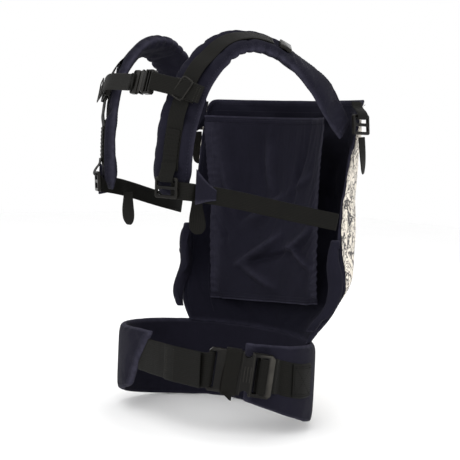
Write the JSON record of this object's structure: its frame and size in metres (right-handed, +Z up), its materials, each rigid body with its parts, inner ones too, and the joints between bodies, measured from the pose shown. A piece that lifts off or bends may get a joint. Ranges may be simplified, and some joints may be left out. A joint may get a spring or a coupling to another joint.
{
  "type": "soft baby carrier",
  "caption": "Structured soft baby carrier closed as worn: padded waist belt, deep seat panel with a hanging hood, padded shoulder straps and a buckled chest strap.",
  "frame": {"origin": "on the wearer's axis inside the waist loop, at half the belt's height and on the carrier's plane of symmetry", "axes": "+Z up, the wearer faces -Y, the wearer's left is +X"},
  "size_m": [0.3752, 0.3656, 0.5611],
  "materials": {
    "navy_canvas": "woven cotton canvas, matte",
    "cream_print": "woven cotton canvas with a fine dark line print",
    "foam": "open-cell foam, inside the covers",
    "black_webbing": "ribbed nylon webbing",
    "black_plastic": "moulded acetal with a soft gloss"
  },
  "bodies": {
    "carrier": {"belt_cover": "navy_canvas", "belt_lining": "navy_canvas", "belt_foam": "foam", "waist_webbing_right": "black_webbing", "waist_webbing_left": "black_webbing", "waist_webbing_tail": "black_webbing", "waist_buckle_female": "black_plastic", "waist_buckle_male": "black_plastic", "waist_buckle_tongue": "black_plastic", "waist_buckle_keeper": "black_webbing", "panel_lining": "navy_canvas", "panel_padding": "foam", "panel_print": "cream_print", "leg_pad_right": "navy_canvas", "leg_pad_left": "navy_canvas", "hood": "navy_canvas", "toy_loop": "black_webbing", "strap_cover_right": "navy_canvas", "strap_foam_right": "foam", "strap_lining_right": "navy_canvas", "strap_tab_right": "navy_canvas", "rail_webbing_right": "black_webbing", "hood_slide_right": "black_plastic", "side_webbing_right": "black_webbing", "strap_cover_left": "navy_canvas", "strap_foam_left": "foam", "strap_lining_left": "navy_canvas", "strap_tab_left": "navy_canvas", "rail_webbing_left": "black_webbing", "hood_slide_left": "black_plastic", "side_webbing_left": "black_webbing"},
    "chest_strap": {"chest_slider_right": "black_plastic", "chest_slider_left": "black_plastic", "chest_webbing_right": "black_webbing", "chest_webbing_left": "black_webbing", "chest_buckle_female": "black_plastic", "chest_buckle_male": "black_plastic", "chest_buckle_tongue": "black_plastic"},
    "chest_prong_upper": {"chest_buckle_prong_upper": "black_plastic"},
    "chest_prong_lower": {"chest_buckle_prong_lower": "black_plastic"},
    "waist_prong_upper": {"waist_buckle_prong_upper": "black_plastic"},
    "waist_prong_lower": {"waist_buckle_prong_lower": "black_plastic"},
    "ladder_lock_right": {"ladder_lock_right": "black_plastic"},
    "ladder_lock_left": {"ladder_lock_left": "black_plastic"},
    "side_tail_right": {"side_tail_right": "black_webbing"},
    "side_tail_left": {"side_tail_left": "black_webbing"},
    "corner_lock_right": {"corner_lock_right": "black_plastic"},
    "corner_lock_left": {"corner_lock_left": "black_plastic"},
    "corner_tail_right": {"corner_tail_right": "black_webbing"},
    "corner_tail_left": {"corner_tail_left": "black_webbing"}
  },
  "joints": [
    {"name": "chest_strap_slide", "type": "hinge", "parent": "carrier", "child": "chest_strap", "pos_m": [0, 0.01, 0.37], "axis": [1, 0, 0], "range_deg": [-5, 5]},
    {"name": "waist_prong_upper_squeeze", "type": "hinge", "parent": "carrier", "child": "waist_prong_upper", "pos_m": [-0.13586, 0.08191, 0.0426], "axis": [0.7481, -0.6636, 0], "range_deg": [0, 6], "stiffness_Nm_per_rad": 0.3},
    {"name": "waist_prong_lower_squeeze", "type": "hinge", "parent": "carrier", "child": "waist_prong_lower", "pos_m": [-0.13414, 0.08385, 0.01669], "axis": [-0.7481, 0.6636, 0], "range_deg": [0, 6], "stiffness_Nm_per_rad": 0.3},
    {"name": "chest_prong_upper_squeeze", "type": "hinge", "parent": "chest_strap", "child": "chest_prong_upper", "pos_m": [-0.02786, 0.16844, 0.41848], "axis": [0, -0.9707, -0.2402], "range_deg": [0, 6], "stiffness_Nm_per_rad": 0.1},
    {"name": "chest_prong_lower_squeeze", "type": "hinge", "parent": "chest_strap", "child": "chest_prong_lower", "pos_m": [-0.02786, 0.17156, 0.40584], "axis": [0, 0.9707, 0.2402], "range_deg": [0, 6], "stiffness_Nm_per_rad": 0.1},
    {"name": "ladder_lock_right_tilt", "type": "hinge", "parent": "carrier", "child": "ladder_lock_right", "pos_m": [-0.08158, 0.15889, 0.2851], "axis": [0.8922, 0.4513, 0.018], "range_deg": [0, 30]},
    {"name": "ladder_lock_left_tilt", "type": "hinge", "parent": "carrier", "child": "ladder_lock_left", "pos_m": [0.08158, 0.15889, 0.2851], "axis": [0.8922, -0.4513, -0.018], "range_deg": [0, 30]},
    {"name": "side_tail_right_swing", "type": "hinge", "parent": "carrier", "child": "side_tail_right", "pos_m": [-0.08, 0.1049, 0.2585], "axis": [0.8924, 0.4513, 0], "range_deg": [-30, 30]},
    {"name": "side_tail_left_swing", "type": "hinge", "parent": "carrier", "child": "side_tail_left", "pos_m": [0.08, 0.1049, 0.2585], "axis": [0.8924, 0.4513, 0], "range_deg": [-30, 30]},
    {"name": "corner_lock_right_tilt", "type": "hinge", "parent": "carrier", "child": "corner_lock_right", "pos_m": [-0.179, -0.103, 0.381], "axis": [-0.04, 0.9992, 0], "range_deg": [0, 30]},
    {"name": "corner_lock_left_tilt", "type": "hinge", "parent": "carrier", "child": "corner_lock_left", "pos_m": [0.179, -0.103, 0.381], "axis": [-0.04, -0.9992, 0], "range_deg": [0, 30]},
    {"name": "corner_tail_right_swing", "type": "hinge", "parent": "corner_lock_right", "child": "corner_tail_right", "pos_m": [-0.181, -0.104, 0.3525], "axis": [-0.04, 0.9992, 0], "range_deg": [0, 40]},
    {"name": "corner_tail_left_swing", "type": "hinge", "parent": "corner_lock_left", "child": "corner_tail_left", "pos_m": [0.181, -0.104, 0.3525], "axis": [-0.04, -0.9992, 0], "range_deg": [0, 40]}
  ],
  "couplings": [
    {"joint": "waist_prong_lower_squeeze", "follows": "waist_prong_upper_squeeze", "ratio": 1},
    {"joint": "chest_prong_lower_squeeze", "follows": "chest_prong_upper_squeeze", "ratio": 1}
  ]
}
